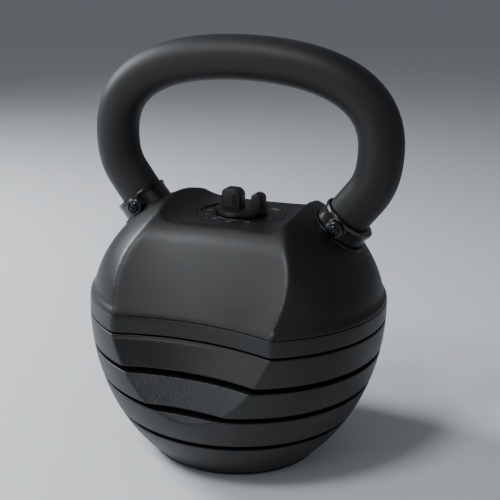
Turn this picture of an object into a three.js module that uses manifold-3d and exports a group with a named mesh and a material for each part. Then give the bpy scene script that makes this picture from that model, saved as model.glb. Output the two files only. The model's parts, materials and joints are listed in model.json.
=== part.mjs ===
// Adjustable kettlebell with a dial selector.
// Millimetres. Origin at the middle of the foot, on the floor. X runs along the handle, the front
// face looks along -Y and +Z is up. The dial stands at its lightest setting, so every plate is free.
import * as THREE from 'three';
import { mergeVertices } from 'three/addons/utils/BufferGeometryUtils.js';
import Module from 'manifold-3d';

const wasm = await Module();
wasm.setup();

// ---- driving sizes ----
const gripDiameter = 33;
const ballDiameter = 230;
const ballWaistHeight = 117;
const ballLowerDepth = 141;
const domeWaistHeight = 114;
const domeDiameter = 227.6;
const domeHeight = 96.3;
const casingSeam = 127;
const plateSeams = [114, 89.8, 65.3, 38.1];
const casingGap = 1.5;
const plateGap = 4;
const lipHeight = 4.5;
const footDiameter = 124;
const footThickness = 5;
const footStandProud = 1.5;

const faceRadius = 175;
const faceBandDepth = 88;
const faceLowerLean = 0.285;
const faceUpperLean = 0.63;
const faceTopHeight = 176;

const valleyFloor = 187.6;
const valleyHalfWidth = 34;
const valleyCorner = 18;

const handleCrown = 304.1;
const handleCrownPull = 50.6;
const handleWaistHeight = 243.6;
const handleWaistHalf = 105.4;
const handleWaistPullUp = 48.3;
const handleWaistPullDown = 23.7;
const legPull = 11.8;
const legAngle = 37;
const legScrewHalf = 79;
const legScrewHeight = 188;
const legStraight = 20.3;
const legBuried = 20;
const tubeDiameter = 25;
const tubeWall = 3;

const collarWall = 3.3;
const collarOutward = 1.8;
const collarRise = 8.3;
const collarDrop = 8;
const spigotWall = 2;
const spigotLength = 13;
const bossDiameter = 13;
const bossReach = 25;

const spindleDiameter = 18;
const spindleFoot = 14;
const spindleRadius = spindleDiameter / 2;
const ringBoreRadius = spindleRadius + 3;
const sleeveRadius = spindleRadius + 5;
const pinRadius = 1.5;
const pinHeight = 183.6;
const spindleTop = 190;
const settingAngle = 30;
const barWidth = 6;
const barThickness = 4;
const barLength = 42;
const keyClearance = 18;
const keyReach = 22.5;
const ringDiameter = 68;
const ringThickness = 3;
const chamberRadius = 24.5;

const knobDiameter = 40;
const knobThickness = 4.4;
const finThickness = 12;
const finLeft = { span: [-14.4, 1.1], top: 206.1, crowns: [4, 6] };
const finRight = { span: [9.4, 18.2], top: 203.9, crowns: [3, 4.5] };
const scaleDiameter = 67.2;

const gap = 0.3;
const halfGap = gap / 2;
const smallest = 0.02;
const round = 40;
const bored = 20;
const turn = Math.PI / 180;

// ---- solids and meshes ----
function solid(geometry) {
  const bare = geometry.clone();
  bare.deleteAttribute('normal');
  bare.deleteAttribute('uv');
  const merged = mergeVertices(bare, 1e-4);
  const mesh = new wasm.Mesh({
    numProp: 3,
    vertProperties: new Float32Array(merged.attributes.position.array),
    triVerts: new Uint32Array(merged.index.array),
  });
  return new wasm.Manifold(mesh);
}

function surface(shape) {
  const mesh = shape.simplify(smallest).getMesh();
  const geometry = new THREE.BufferGeometry();
  geometry.setAttribute('position', new THREE.BufferAttribute(new Float32Array(mesh.vertProperties), 3));
  geometry.setIndex(new THREE.BufferAttribute(new Uint32Array(mesh.triVerts), 1));
  const split = geometry.toNonIndexed();
  split.computeVertexNormals();
  return split;
}

function drum(radius, low, high, sides = round) {
  const geometry = new THREE.CylinderGeometry(radius, radius, high - low, sides);
  geometry.rotateX(Math.PI / 2);
  geometry.translate(0, 0, (low + high) / 2);
  return solid(geometry);
}

function block(low, high) {
  const size = high.map((value, axis) => value - low[axis]);
  const geometry = new THREE.BoxGeometry(size[0], size[1], size[2]);
  geometry.translate((low[0] + high[0]) / 2, (low[1] + high[1]) / 2, (low[2] + high[2]) / 2);
  return solid(geometry);
}

function rod(radius, from, to, sides = 16) {
  const start = new THREE.Vector3(...from);
  const way = new THREE.Vector3(...to).sub(start);
  const geometry = new THREE.CylinderGeometry(radius, radius, way.length(), sides);
  geometry.translate(0, way.length() / 2, 0);
  const turned = new THREE.Quaternion().setFromUnitVectors(new THREE.Vector3(0, 1, 0), way.normalize());
  geometry.applyQuaternion(turned);
  geometry.translate(start.x, start.y, start.z);
  return solid(geometry);
}

function turned(profile, sides = round) {
  const points = profile.map((pair) => new THREE.Vector2(pair[0], pair[1]));
  const geometry = new THREE.LatheGeometry(points, sides);
  geometry.rotateX(Math.PI / 2);
  return solid(geometry);
}

function ring(inner, outer, low, high, sides = bored) {
  return drum(outer, low, high, sides).subtract(drum(inner, low - 1, high + 1, sides));
}

function prism(outline, low, high) {
  const shape = new THREE.Shape(outline.map((pair) => new THREE.Vector2(pair[0], pair[1])));
  const geometry = new THREE.ExtrudeGeometry(shape, { depth: high - low, bevelEnabled: false });
  geometry.translate(0, 0, low);
  return solid(geometry);
}

// Closed solid through a stack of outlines that all have the same number of points.
function stacked(outlines) {
  const count = outlines[0].length;
  const position = outlines.flat().flatMap((point) => [point.x, point.y, point.z]);
  const index = [];
  for (let level = 0; level + 1 < outlines.length; level += 1) {
    for (let step = 0; step < count; step += 1) {
      const here = level * count + step;
      const next = level * count + ((step + 1) % count);
      index.push(here, next, next + count);
      index.push(here, next + count, here + count);
    }
  }
  const flat = outlines[0].map((point) => new THREE.Vector2(point.x, point.y));
  const last = (outlines.length - 1) * count;
  for (const [a, b, c] of THREE.ShapeUtils.triangulateShape(flat, [])) {
    index.push(a, c, b);
    index.push(last + a, last + b, last + c);
  }
  const geometry = new THREE.BufferGeometry();
  geometry.setAttribute('position', new THREE.Float32BufferAttribute(position, 3));
  geometry.setIndex(index);
  return solid(geometry);
}

function mirrorX(shape) {
  return shape.mirror([1, 0, 0]);
}

function turnedBy(shape, degrees) {
  return shape.rotate([0, 0, degrees]);
}

// ---- outer form: a ball with a hollowed face front and back, and a valley across the top ----
function lowerRadius(height) {
  const drop = (height - ballWaistHeight) / ballLowerDepth;
  return (ballDiameter / 2) * Math.sqrt(1 - drop * drop);
}

function domeRadius(height) {
  const rise = (height - domeWaistHeight) / domeHeight;
  return (domeDiameter / 2) * Math.sqrt(1 - rise * rise);
}

function ballForm() {
  const profile = [[0, 0]];
  const lowerSteps = 10;
  for (let step = 0; step <= lowerSteps; step += 1) {
    const height = (casingSeam * step) / lowerSteps;
    profile.push([lowerRadius(height), height]);
  }
  profile.push([lowerRadius(casingSeam) - 0.4, casingSeam + lipHeight - 0.8]);
  const domeSteps = 9;
  const lean = Math.asin((casingSeam + lipHeight - domeWaistHeight) / domeHeight);
  for (let step = 0; step < domeSteps; step += 1) {
    const angle = lean + ((Math.PI / 2 - lean) * step) / domeSteps;
    const height = domeWaistHeight + domeHeight * Math.sin(angle);
    profile.push([domeRadius(height), height]);
  }
  profile.push([0, domeWaistHeight + domeHeight]);
  return turned(profile);
}

// Distance of the hollowed face from the middle, at its centre line.
function faceDepth(height) {
  const band = plateSeams[0];
  if (height < band) return faceBandDepth + (band - height) * faceLowerLean;
  if (height < casingSeam) return faceBandDepth;
  const straight = Math.min(height, faceTopHeight) - casingSeam;
  const over = Math.max(0, height - faceTopHeight);
  return faceBandDepth - straight * faceUpperLean - over * (faceUpperLean + over * 0.03);
}

function faceCutter() {
  const heights = [-5, plateSeams[1], plateSeams[0], casingSeam, faceTopHeight];
  for (let height = faceTopHeight + 6; height < 212; height += 6) heights.push(height);
  const half = 90;
  const steps = 8;
  const outlines = heights.map((height) => {
    const outline = [new THREE.Vector3(-half, -200, height), new THREE.Vector3(half, -200, height)];
    for (let step = 0; step <= steps; step += 1) {
      const x = half - (2 * half * step) / steps;
      const bow = faceRadius - Math.sqrt(faceRadius * faceRadius - x * x);
      outline.push(new THREE.Vector3(x, -faceDepth(height) - bow, height));
    }
    return outline;
  });
  return stacked(outlines);
}

function valleyCutter() {
  const outline = [[-valleyHalfWidth, valleyFloor], [valleyHalfWidth, valleyFloor]];
  const steps = 6;
  for (let step = 1; step <= steps; step += 1) {
    const angle = ((Math.PI / 2) * step) / steps;
    const x = valleyHalfWidth + valleyCorner * Math.sin(angle);
    const z = valleyFloor + valleyCorner * (1 - Math.cos(angle));
    outline.push([x, z]);
  }
  const rim = valleyHalfWidth + valleyCorner;
  outline.push([rim, 230], [-rim, 230]);
  for (let step = steps; step >= 1; step -= 1) {
    const angle = ((Math.PI / 2) * step) / steps;
    const x = valleyHalfWidth + valleyCorner * Math.sin(angle);
    const z = valleyFloor + valleyCorner * (1 - Math.cos(angle));
    outline.push([-x, z]);
  }
  return prism(outline, -120, 120).rotate([90, 0, 0]);
}

function makeForm() {
  const front = faceCutter();
  const back = front.mirror([0, 1, 0]);
  return ballForm().subtract(front).subtract(back).subtract(valleyCutter());
}

const form = makeForm();

function slice(low, high) {
  return form.intersect(block([-150, -150, low], [150, 150, high]));
}

// ---- handle line ----
const legUp = new THREE.Vector3(Math.sin(legAngle * turn), 0, Math.cos(legAngle * turn));
const screwPoint = new THREE.Vector3(legScrewHalf, 0, legScrewHeight);
const legTop = screwPoint.clone().addScaledVector(legUp, legStraight);
const legEnd = screwPoint.clone().addScaledVector(legUp, -legBuried);

function alongLeg(distance) {
  return screwPoint.clone().addScaledVector(legUp, distance);
}

function flipped(point) {
  return new THREE.Vector3(-point.x, point.y, point.z);
}

function handleLine() {
  const waist = new THREE.Vector3(handleWaistHalf, 0, handleWaistHeight);
  const crown = new THREE.Vector3(0, 0, handleCrown);
  const crownPull = new THREE.Vector3(handleCrownPull, 0, handleCrown);
  const waistUp = new THREE.Vector3(handleWaistHalf, 0, handleWaistHeight + handleWaistPullUp);
  const waistDown = new THREE.Vector3(handleWaistHalf, 0, handleWaistHeight - handleWaistPullDown);
  const legHold = legTop.clone().addScaledVector(legUp, legPull);
  const line = new THREE.CurvePath();
  line.add(new THREE.LineCurve3(flipped(legEnd), flipped(legTop)));
  line.add(new THREE.CubicBezierCurve3(flipped(legTop), flipped(legHold), flipped(waistDown), flipped(waist)));
  line.add(new THREE.CubicBezierCurve3(flipped(waist), flipped(waistUp), flipped(crownPull), crown));
  line.add(new THREE.CubicBezierCurve3(crown, crownPull, waistUp, waist));
  line.add(new THREE.CubicBezierCurve3(waist, waistDown, legHold, legTop));
  line.add(new THREE.LineCurve3(legTop, legEnd));
  return line;
}

function pipe(outer, inner, outerSides, innerSides, steps) {
  const line = handleLine();
  const shape = new THREE.Shape(circlePoints(outer, outerSides));
  shape.holes.push(new THREE.Path(circlePoints(inner, innerSides).reverse()));
  const options = { steps, extrudePath: line, bevelEnabled: false };
  return solid(new THREE.ExtrudeGeometry(shape, options));
}

function circlePoints(radius, sides) {
  const points = [];
  for (let side = 0; side < sides; side += 1) {
    const angle = ((side + 0.5) / sides) * Math.PI * 2;
    points.push(new THREE.Vector2(radius * Math.cos(angle), radius * Math.sin(angle)));
  }
  return points;
}

function screwHole(radius) {
  const from = [legScrewHalf, -40, legScrewHeight];
  const to = [legScrewHalf, 40, legScrewHeight];
  return rod(radius, from, to, 12);
}

function drilled(shape, radius) {
  const hole = screwHole(radius);
  return shape.subtract(hole).subtract(mirrorX(hole));
}

function handleTube() {
  return drilled(pipe(tubeDiameter / 2, tubeDiameter / 2 - tubeWall, 10, 8, 24), 2.3);
}

function handleGrip() {
  return drilled(pipe(gripDiameter / 2, tubeDiameter / 2 + 0.9, 16, 10, 30), 2.3);
}

// ---- collars ----
const gripRadius = gripDiameter / 2;
const collarRadius = gripRadius + collarWall;
const spigotRadius = gripRadius + spigotWall;

const outward = new THREE.Vector3(Math.cos(legAngle * turn), 0, -Math.sin(legAngle * turn));

function legRod(radius, from, to, shift = 0, sides = bored) {
  const a = alongLeg(from).addScaledVector(outward, shift);
  const b = alongLeg(to).addScaledVector(outward, shift);
  return rod(radius, [a.x, a.y, a.z], [b.x, b.y, b.z], sides);
}

function collarRight() {
  const lower = legRod(spigotRadius, -collarDrop - spigotLength, 0);
  const band = legRod(collarRadius, -collarDrop, collarRise - 1, collarOutward);
  const bead = legRod(collarRadius + 0.7, collarRise - 3, collarRise, collarOutward);
  const bossStart = [legScrewHalf, -bossReach, legScrewHeight];
  const bossEnd = [legScrewHalf, bossReach, legScrewHeight];
  const boss = rod(bossDiameter / 2, bossStart, bossEnd, 24);
  const bore = legRod(gripRadius + 0.35, -collarDrop - spigotLength - 1, collarRise + 1);
  const body = lower.add(band).add(bead).add(boss).subtract(bore);
  const heads = rod(4.6, [legScrewHalf, -40, legScrewHeight], [legScrewHalf, 1.6 - bossReach, legScrewHeight])
    .add(rod(4.6, [legScrewHalf, bossReach - 1.6, legScrewHeight], [legScrewHalf, 40, legScrewHeight]));
  return body.subtract(heads).subtract(screwHole(2.3));
}

function collarPocket() {
  const depth = collarDrop + spigotLength;
  const seat = legRod(collarRadius + gap, -collarDrop - gap, 60, collarOutward);
  const socket = legRod(spigotRadius + gap, -depth - gap, 0);
  const start = [legScrewHalf, -bossReach - 2, legScrewHeight];
  const end = [legScrewHalf, bossReach + 2, legScrewHeight];
  return seat.add(socket).add(rod(bossDiameter / 2 + gap, start, end, 24));
}

// A pan-head screw with a cross recess. Its head faces along -Z and its shank runs up +Z.
function crossScrew(headRadius, headHeight, shankRadius, length, cross = true) {
  const rim = headRadius * 0.8;
  const head = turned([[0, -headHeight], [rim, -headHeight], [headRadius, -headHeight * 0.45],
    [headRadius, 0], [0, 0]], 10);
  const shank = drum(shankRadius, -0.5, length, 6);
  const whole = head.add(shank);
  if (!cross) return whole;
  const arm = headRadius * 0.55;
  const slot = headRadius * 0.16;
  const deep = -headHeight * 0.4;
  const one = block([-arm, -slot, -headHeight - 1], [arm, slot, deep]);
  const two = block([-slot, -arm, -headHeight - 1], [slot, arm, deep]);
  return whole.subtract(one).subtract(two);
}

function collarScrew(side, face) {
  const screw = crossScrew(3.9, 2.6, 1.9, bossReach - 13).rotate([0, 0, 35]);
  const facing = face < 0 ? screw.rotate([-90, 0, 0]) : screw.rotate([90, 0, 0]);
  const start = face * (bossReach - 1.6 + 0.1);
  return facing.translate([side * legScrewHalf, start, legScrewHeight]);
}

// ---- casing ----
const cavityFloor = 119;
const bushRadius = spindleRadius + 4;
const dialLedge = 185.1;
const dialPocket = 31;
const pocketFloor = 174;
const springHeights = [176.3, 180.3];
const casingBoltRadius = 101;
const casingBoltAngle = 20;

function cavityForm(shrink) {
  const profile = [[0, cavityFloor + shrink], [90 - shrink, cavityFloor + shrink], [90 - shrink, 126],
    [87 - shrink, 138 - shrink], [72 - shrink, 150 - shrink], [50, 158 - shrink], [0, 158 - shrink]];
  const slab = block([-120, -62 + shrink, 100], [120, 62 - shrink, 170]);
  return turned(profile, 32).intersect(slab);
}

function casingBolts(make) {
  const shapes = [];
  for (const side of [0, 180]) {
    for (const step of [-1, 1]) {
      const angle = (side + step * casingBoltAngle) * turn;
      const x = casingBoltRadius * Math.cos(angle);
      const y = casingBoltRadius * Math.sin(angle);
      shapes.push(make().translate([x, y, 0]));
    }
  }
  return shapes;
}

function casingUpper() {
  let shape = slice(casingSeam + halfGap, 230).subtract(cavityForm(0));
  shape = shape.subtract(collarPocket()).subtract(mirrorX(collarPocket()));
  shape = shape.subtract(drum(bushRadius + gap, 150, 200, bored));
  shape = shape.subtract(drum(dialPocket, pocketFloor, 200));
  shape = shape.subtract(drum(scaleDiameter / 2 + 0.4, dialLedge, 200));
  for (const hole of casingBolts(() => drum(2.2, 100, 141, 8))) shape = shape.subtract(hole);
  for (const side of [-1, 1]) {
    shape = shape.add(drum(2.2, pocketFloor - 1, springHeights[1], 12).translate([side * 17.5, 16.8, 0]));
  }
  return shape;
}

function casingLower() {
  const seam = plateSeams[0];
  const band = slice(seam + casingGap / 2, casingSeam - halfGap);
  const land = landForm(seam, seam + halfGap, seam + casingGap / 2 + 1, studSocketDepth(0));
  let shape = band.add(land).subtract(cavityForm(0));
  shape = shape.subtract(drum(bushRadius + gap, 100, 130, bored));
  for (const hole of casingBolts(() => drum(2.2, 100, 141, 8))) shape = shape.subtract(hole);
  for (const hole of casingBolts(() => drum(4.6, 100, seam + casingGap / 2 + 3, 12))) {
    shape = shape.subtract(hole);
  }
  return shape.subtract(studs(0, gap));
}

function casingBoltShapes() {
  const under = plateSeams[0] + casingGap / 2 + 3;
  return casingBolts(() => crossScrew(3.9, 2.2, 1.9, 22, false).translate([0, 0, under - 0.2]));
}

function coreWeight() {
  const hole = drum(bushRadius + 7, 100, 170, bored);
  const lowCut = block([-130, -130, 148], [130, 130, 170]);
  return cavityForm(0.5).subtract(hole).subtract(lowCut);
}

// ---- plates ----
const plateTops = plateSeams;
const plateBottoms = [...plateSeams.slice(1), 0];

function landRadius(seam) {
  return lowerRadius(seam) - 12;
}

function landDepth(seam) {
  return Math.min(faceDepth(seam), lowerRadius(seam)) - 9;
}

function landForm(seam, low, high) {
  const depth = landDepth(seam);
  const slab = block([-140, -depth, low], [140, depth, high]);
  return drum(landRadius(seam), low, high).intersect(slab);
}

function studSocketDepth(index) {
  return index;
}

// Two locating studs on a plate's top land. The piece above has sockets for them.
function studs(index, extra) {
  const seam = plateTops[index];
  const reach = landRadius(seam) - 6;
  const base = seam - 2;
  const high = seam + 3 + extra;
  const radius = 3.4 + extra;
  const profile = [[0, base], [radius, base], [radius, high - 1], [radius - 1, high], [0, high]];
  let all = null;
  for (const angle of [24, 204]) {
    const x = reach * Math.cos(angle * turn);
    const y = reach * Math.sin(angle * turn);
    const stud = turned(profile, 8).translate([x, y, 0]);
    all = all ? all.add(stud) : stud;
  }
  return all;
}

function plateTopFace(index) {
  return plateTops[index] - halfGap;
}

function ringLevel(index) {
  return plateTopFace(index) - ringThickness - gap;
}

function ringScrewPlaces(index) {
  const places = [];
  for (const half of [0, 180]) {
    const angle = (half + 135 + index * 15) * turn;
    places.push([29 * Math.cos(angle), 29 * Math.sin(angle)]);
  }
  return places;
}

function weightSpan(index) {
  const low = index === 3 ? footThickness + gap : plateBottoms[index] + halfGap;
  return [low, ringLevel(index) - 5];
}

function weightForm(index, spare) {
  const [low, high] = weightSpan(index);
  const base = index === 3 ? footDiameter / 2 - 3 : landRadius(plateBottoms[index]) - 12;
  const depth = index === 3 ? base : Math.min(landDepth(plateBottoms[index]), base) - 4;
  const slab = block([-140, -depth - spare, low - spare * 2], [140, depth + spare, high + spare]);
  const outer = drum(base + spare, low - spare * 2, high + spare, 36).intersect(slab);
  return outer.subtract(drum(36 - spare, low - 4, high + 4, bored));
}

function plateShell(index) {
  const topGap = index === 0 ? casingGap : plateGap;
  const topSeam = plateTops[index];
  const bottomSeam = plateBottoms[index];
  const isBase = index === 3;
  const low = isBase ? footStandProud : bottomSeam + plateGap / 2;
  let shape = slice(low, topSeam - topGap / 2);
  shape = shape.add(landForm(topSeam, topSeam - topGap / 2 - 1, topSeam - halfGap));
  if (!isBase) {
    shape = shape.add(landForm(bottomSeam, bottomSeam + halfGap, bottomSeam + plateGap / 2 + 1));
  }
  shape = shape.add(studs(index, 0));
  const chamberFloor = isBase ? spindleFoot - 4 : bottomSeam - 2;
  shape = shape.subtract(drum(chamberRadius, chamberFloor, topSeam + 1, bored));
  shape = shape.subtract(drum(ringDiameter / 2 + gap, ringLevel(index) - 0.1, topSeam + 1, 24));
  shape = shape.subtract(weightForm(index, gap));
  for (const [x, y] of ringScrewPlaces(index)) {
    const level = ringLevel(index);
    shape = shape.subtract(drum(1.9, level - 9, level + 1, 8).translate([x, y, 0]));
  }
  if (isBase) {
    shape = shape.subtract(drum(footDiameter / 2 + gap, 0, footThickness + gap));
    for (const [x, y] of footScrewPlaces()) shape = shape.subtract(drum(1.9, 0, 16, 8).translate([x, y, 0]));
    return shape;
  }
  return shape.subtract(studs(index + 1, gap));
}

// Steel ring with a keyhole. The bar below it passes only while it lines up with the key slots.
function lockRing(index) {
  const low = ringLevel(index) + 0.1;
  const high = low + ringThickness;
  let shape = ring(ringBoreRadius, ringDiameter / 2, low, high, 24);
  for (const half of [0, 180]) {
    const outline = [[0, 0]];
    const end = index * settingAngle + keyClearance;
    const steps = Math.ceil((end + keyClearance) / 15);
    for (let step = 0; step <= steps; step += 1) {
      const angle = (-keyClearance + ((end + keyClearance) * step) / steps + half) * turn;
      outline.push([keyReach * Math.cos(angle), keyReach * Math.sin(angle)]);
    }
    shape = shape.subtract(prism(outline, low - 1, high + 1));
  }
  for (const [x, y] of ringScrewPlaces(index)) {
    shape = shape.subtract(drum(2, low - 1, high + 1, 8).translate([x, y, 0]));
    shape = shape.subtract(drum(3.6, high - 1.7, high + 1, 10).translate([x, y, 0]));
  }
  return shape;
}

function ringScrews(index) {
  const seat = ringLevel(index) + 0.1 + ringThickness - 1.7 + 0.15;
  return ringScrewPlaces(index).map(([x, y]) => {
    const head = drum(3.2, seat, seat + 1.3, 10);
    const shank = drum(1.6, seat - 8, seat + 0.5, 6);
    return head.add(shank).translate([x, y, 0]);
  });
}

function footScrewPlaces() {
  const reach = 30;
  return [45, 135, 225, 315].map((angle) => [reach * Math.cos(angle * turn), reach * Math.sin(angle * turn)]);
}

function footPad() {
  let shape = turned([[0, 0], [footDiameter / 2 - 1.5, 0], [footDiameter / 2, 1.5],
    [footDiameter / 2, footThickness], [0, footThickness]]);
  for (const [x, y] of footScrewPlaces()) {
    shape = shape.subtract(drum(4, -1, 2.4, 10).translate([x, y, 0]));
    shape = shape.subtract(drum(1.9, -1, 10, 8).translate([x, y, 0]));
  }
  return shape;
}

function footScrews() {
  const screw = crossScrew(3.4, 1.6, 1.6, 11, false).translate([0, 0, 2.3]);
  return footScrewPlaces().map(([x, y]) => screw.translate([x, y, 0]));
}

// ---- selector ----
function barLevel(index) {
  return ringLevel(index) - 0.6 - barThickness;
}

function lockBar(index) {
  const low = barLevel(index);
  const half = barWidth / 2;
  const flat = block([-barLength / 2, -half, low], [barLength / 2, half, low + barThickness]);
  return flat.intersect(drum(barLength / 2, low - 1, low + barThickness + 1, 36));
}

function spindle() {
  const radius = spindleRadius;
  const clipLow = 155;
  const profile = [[0, spindleFoot], [radius - 2, spindleFoot], [radius, spindleFoot + 3],
    [radius, clipLow - gap], [radius - 1.2, clipLow - gap], [radius - 1.2, clipLow + 1.8],
    [radius, clipLow + 1.8], [radius, spindleTop], [0, spindleTop]];
  let shape = turned(profile, bored);
  for (const index of [0, 1, 2, 3]) {
    const low = barLevel(index) - gap;
    const half = barWidth / 2 + gap;
    shape = shape.subtract(block([-20, -half, low], [20, half, low + barThickness + 2 * gap]));
  }
  return shape.subtract(rod(pinRadius + halfGap, [0, -20, pinHeight], [0, 20, pinHeight], 12));
}

function spindleClip() {
  const open = block([-3.5, 0, 150], [3.5, spindleRadius + 9, 160]);
  return ring(spindleRadius - 0.9, spindleRadius + 3, 155, 156.5, 24).subtract(open);
}

function bush(low, high, flangeLow, flangeHigh) {
  const bore = spindleRadius + gap;
  const flange = bushRadius + 2.5;
  const body = ring(bore, bushRadius, low, high, bored);
  return body.add(ring(bore, flange, flangeLow, flangeHigh, bored));
}

function fin({ span, top, crowns }) {
  const outline = [[span[0], 190]];
  const steps = 4;
  const [leftCrown, rightCrown] = crowns;
  for (let step = 0; step <= steps; step += 1) {
    const angle = ((Math.PI / 2) * step) / steps;
    const x = span[0] + leftCrown * (1 - Math.cos(angle));
    outline.push([x, top - leftCrown + leftCrown * Math.sin(angle)]);
  }
  for (let step = 0; step <= steps; step += 1) {
    const angle = ((Math.PI / 2) * step) / steps;
    const x = span[1] - rightCrown + rightCrown * Math.sin(angle);
    outline.push([x, top - rightCrown * (1 - Math.cos(angle))]);
  }
  outline.push([span[1], 190]);
  return prism(outline.reverse(), -finThickness / 2, finThickness / 2).rotate([90, 0, 0]);
}

function dialKnob() {
  const low = valleyFloor - 0.3;
  const high = low + knobThickness;
  const radius = knobDiameter / 2;
  const disc = turned([[0, low], [radius, low], [radius, high - 1], [radius - 1, high], [0, high]], 28);
  const sleeve = drum(sleeveRadius, 181, low + 1, bored);
  const fins = fin(finLeft).add(fin(finRight));
  const bore = drum(spindleRadius + gap, 170, spindleTop + gap, bored);
  const pin = rod(pinRadius + halfGap, [0, -20, pinHeight], [0, 20, pinHeight], 12);
  return disc.add(sleeve).add(fins).subtract(bore).subtract(pin);
}

function knobPin() {
  const reach = sleeveRadius - 0.2;
  return rod(pinRadius, [0, -reach, pinHeight], [0, reach, pinHeight], 12);
}

function detentWheel() {
  const [low, high] = springHeights;
  const outline = [];
  const notches = 12;
  for (let notch = 0; notch < notches; notch += 1) {
    const middle = (notch * 360) / notches + 90;
    for (const [offset, radius] of [[-8, 17], [0, 15], [8, 17]]) {
      const angle = (middle + offset) * turn;
      outline.push([radius * Math.cos(angle), radius * Math.sin(angle)]);
    }
  }
  return prism(outline, low, high).subtract(drum(spindleRadius + gap, low - 1, high + 1, bored));
}

function detentSpring() {
  const line = [[-22, 21], [-7, 19], [-2, 17], [0, 16], [2, 17], [7, 19], [22, 21]];
  const thick = 0.8;
  const outer = line.map(([x, y]) => [x, y + thick]);
  return prism([...line, ...outer.reverse()], springHeights[0], springHeights[1]);
}

function dialPlate() {
  return ring(sleeveRadius + 0.6, scaleDiameter / 2, dialLedge + halfGap, valleyFloor - 0.8, round);
}

// ---- materials ----
const looks = {
  casing: { color: 0x1d1e20, roughness: 0.55, metalness: 0 },
  soft: { color: 0x1a1b1c, roughness: 0.7, metalness: 0 },
  gloss: { color: 0x131415, roughness: 0.3, metalness: 0 },
  iron: { color: 0x303234, roughness: 0.7, metalness: 0.6 },
  steel: { color: 0x8b8e91, roughness: 0.35, metalness: 1 },
  blackSteel: { color: 0x17181a, roughness: 0.4, metalness: 0.8 },
  rubber: { color: 0x151515, roughness: 0.9, metalness: 0 },
  bearing: { color: 0xc9c6bd, roughness: 0.5, metalness: 0 },
};

const part = new THREE.Group();
part.name = 'adjustable_kettlebell';

function place(name, shape, look) {
  const mesh = new THREE.Mesh(surface(shape), new THREE.MeshStandardMaterial(looks[look]));
  mesh.name = name;
  part.add(mesh);
}

// ---- assembly ----
place('handle_tube', handleTube(), 'blackSteel');
place('handle_grip', handleGrip(), 'soft');
place('collar_right', collarRight(), 'gloss');
place('collar_left', mirrorX(collarRight()), 'gloss');
for (const [side, sideName] of [[-1, 'left'], [1, 'right']]) {
  for (const [face, faceName] of [[-1, 'front'], [1, 'back']]) {
    place(`collar_screw_${sideName}_${faceName}`, collarScrew(side, face), 'blackSteel');
  }
}
place('casing_upper', casingUpper(), 'casing');
place('casing_lower', casingLower(), 'casing');
casingBoltShapes().forEach((shape, step) => place(`casing_screw_${step + 1}`, shape, 'steel'));
place('core_weight', coreWeight(), 'iron');
place('bush_upper', bush(159, 175, pocketFloor + gap, 175.8), 'bearing');
place('bush_lower', bush(plateSeams[0] + halfGap, 122, cavityFloor + gap, 122), 'bearing');
place('dial_plate', dialPlate(), 'gloss');
place('detent_spring', detentSpring(), 'steel');
place('dial_knob', dialKnob(), 'gloss');
place('knob_pin', knobPin(), 'steel');
place('spindle', spindle(), 'steel');
place('spindle_clip', spindleClip(), 'steel');
place('detent_wheel', detentWheel(), 'steel');
for (const index of [0, 1, 2, 3]) {
  const number = index + 1;
  place(`lock_bar_${number}`, lockBar(index), 'steel');
  place(`plate_${number}_shell`, plateShell(index), 'casing');
  place(`plate_${number}_weight`, weightForm(index, 0), 'iron');
  place(`plate_${number}_lock_ring`, lockRing(index), 'steel');
  ringScrews(index).forEach((shape, step) => place(`plate_${number}_screw_${step + 1}`, shape, 'steel'));
}
place('foot_pad', footPad(), 'rubber');
footScrews().forEach((shape, step) => place(`foot_screw_${step + 1}`, shape, 'steel'));

export default part;
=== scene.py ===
import json
import math
import bpy
from mathutils import Matrix, Vector

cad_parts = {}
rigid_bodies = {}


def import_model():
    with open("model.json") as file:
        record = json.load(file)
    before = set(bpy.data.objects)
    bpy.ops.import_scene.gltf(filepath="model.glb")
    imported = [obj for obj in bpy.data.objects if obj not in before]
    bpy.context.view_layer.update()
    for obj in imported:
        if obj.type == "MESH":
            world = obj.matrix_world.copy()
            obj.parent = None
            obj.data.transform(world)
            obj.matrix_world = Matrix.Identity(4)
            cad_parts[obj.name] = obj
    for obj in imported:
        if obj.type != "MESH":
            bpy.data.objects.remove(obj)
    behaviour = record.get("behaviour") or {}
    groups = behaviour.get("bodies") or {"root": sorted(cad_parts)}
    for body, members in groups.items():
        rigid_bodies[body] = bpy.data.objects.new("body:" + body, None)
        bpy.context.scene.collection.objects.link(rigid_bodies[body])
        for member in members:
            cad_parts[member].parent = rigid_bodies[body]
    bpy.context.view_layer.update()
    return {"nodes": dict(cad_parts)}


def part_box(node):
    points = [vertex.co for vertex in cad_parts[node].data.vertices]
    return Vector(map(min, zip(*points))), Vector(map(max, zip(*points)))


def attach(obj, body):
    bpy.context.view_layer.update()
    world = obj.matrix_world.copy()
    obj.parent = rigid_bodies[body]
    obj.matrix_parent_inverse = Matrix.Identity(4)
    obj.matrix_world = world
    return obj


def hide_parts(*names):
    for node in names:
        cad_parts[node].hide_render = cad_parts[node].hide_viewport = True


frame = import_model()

mm = 0.001


# Small helpers around the modelling operators.
def only(obj):
    for other in bpy.context.view_layer.objects:
        other.select_set(False)
    obj.select_set(True)
    bpy.context.view_layer.objects.active = obj


def editing(obj, mode="VERT"):
    only(obj)
    bpy.ops.object.mode_set(mode="EDIT")
    bpy.ops.mesh.select_mode(type=mode)


def selectAll(wanted):
    bpy.ops.mesh.select_all(action="SELECT" if wanted else "DESELECT")


def objectMode():
    bpy.ops.object.mode_set(mode="OBJECT")


def named(name):
    obj = bpy.context.object
    obj.name = name
    obj.data.name = name
    return obj


def settle(obj):
    only(obj)
    bpy.ops.object.transform_apply(location=True, rotation=True, scale=True)
    return obj


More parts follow.
